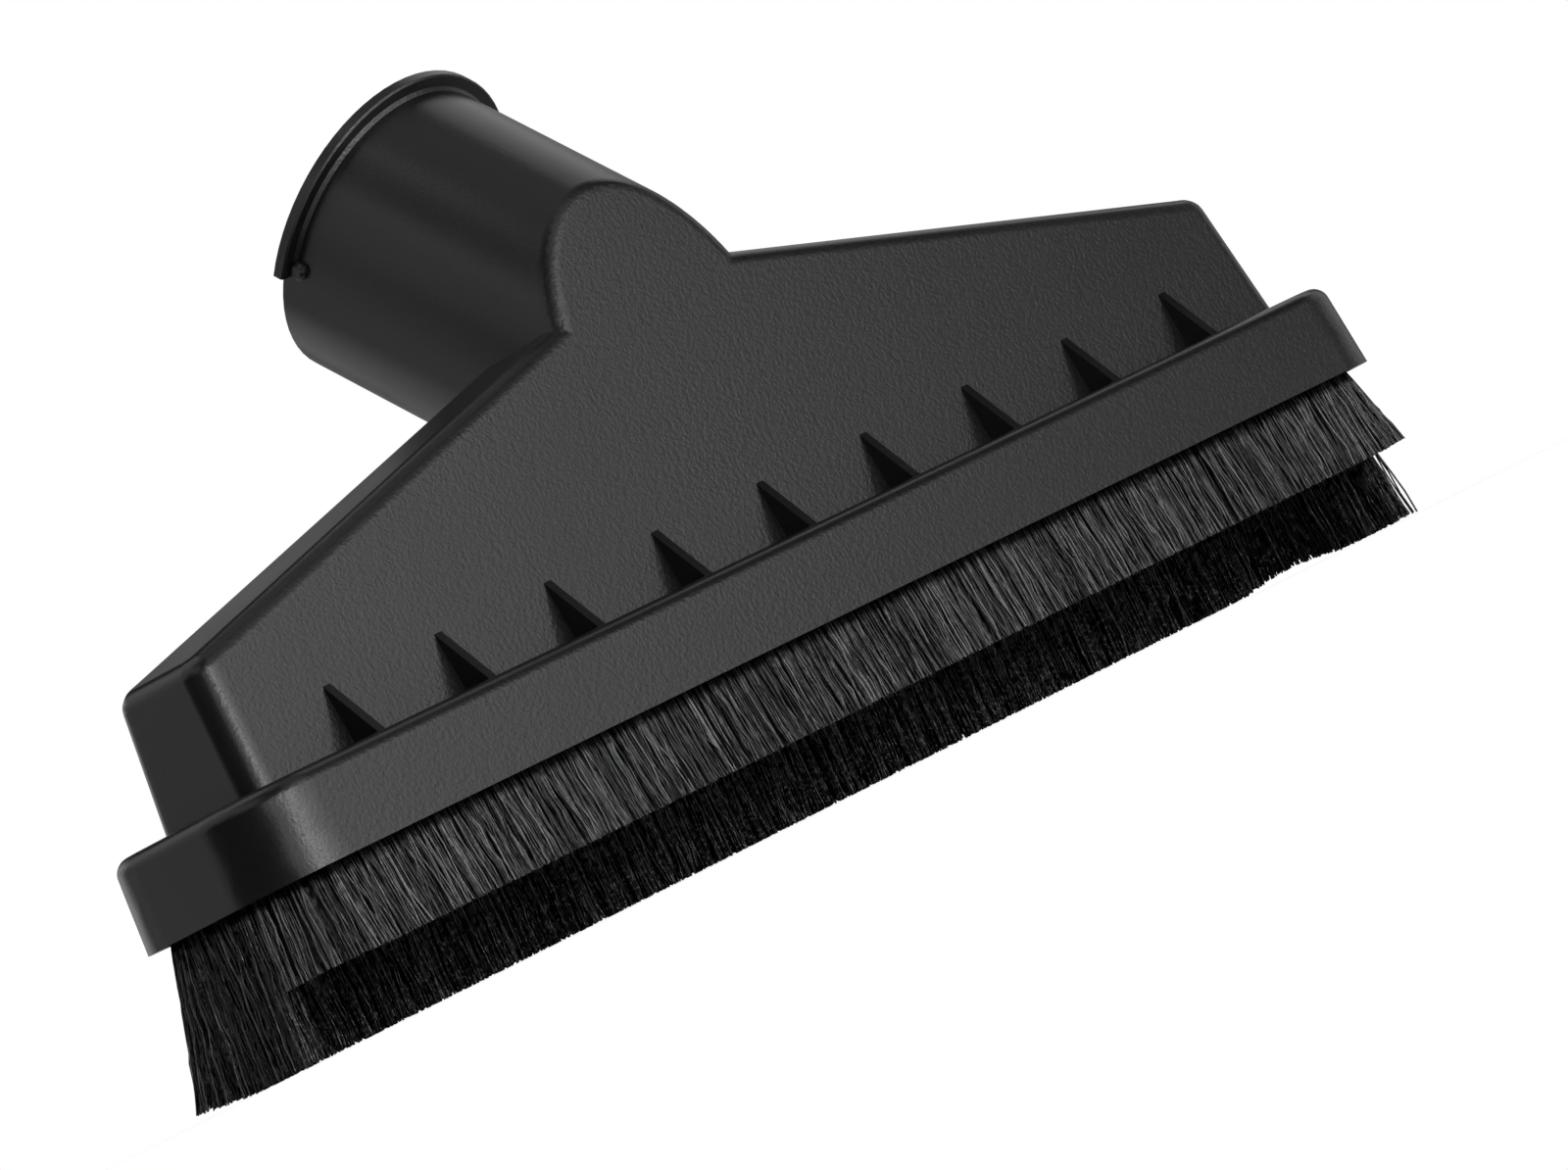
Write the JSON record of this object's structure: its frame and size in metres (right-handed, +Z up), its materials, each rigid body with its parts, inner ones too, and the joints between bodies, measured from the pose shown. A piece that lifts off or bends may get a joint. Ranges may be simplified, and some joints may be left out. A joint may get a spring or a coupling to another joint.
{
  "type": "vacuum floor brush",
  "caption": "Hollow trapezoid suction head with a ribbed front, a round hose neck with a half collar, and bristle rows round its mouth.",
  "frame": {"origin": "middle of the suction mouth, on the floor that the long bristles stand on", "axes": "+X along the head, -Y is the ribbed front, +Z up"},
  "size_m": [0.298, 0.0839, 0.1445],
  "materials": {
    "black_plastic": "fine moulded grain",
    "strip_plastic": "plain",
    "bristle": "satin filaments"
  },
  "bodies": {
    "root": {"housing": "black_plastic", "front_strip_back": "strip_plastic", "front_bristles": "bristle", "rear_strip_back": "strip_plastic", "rear_bristles": "bristle"}
  },
  "joints": []
}
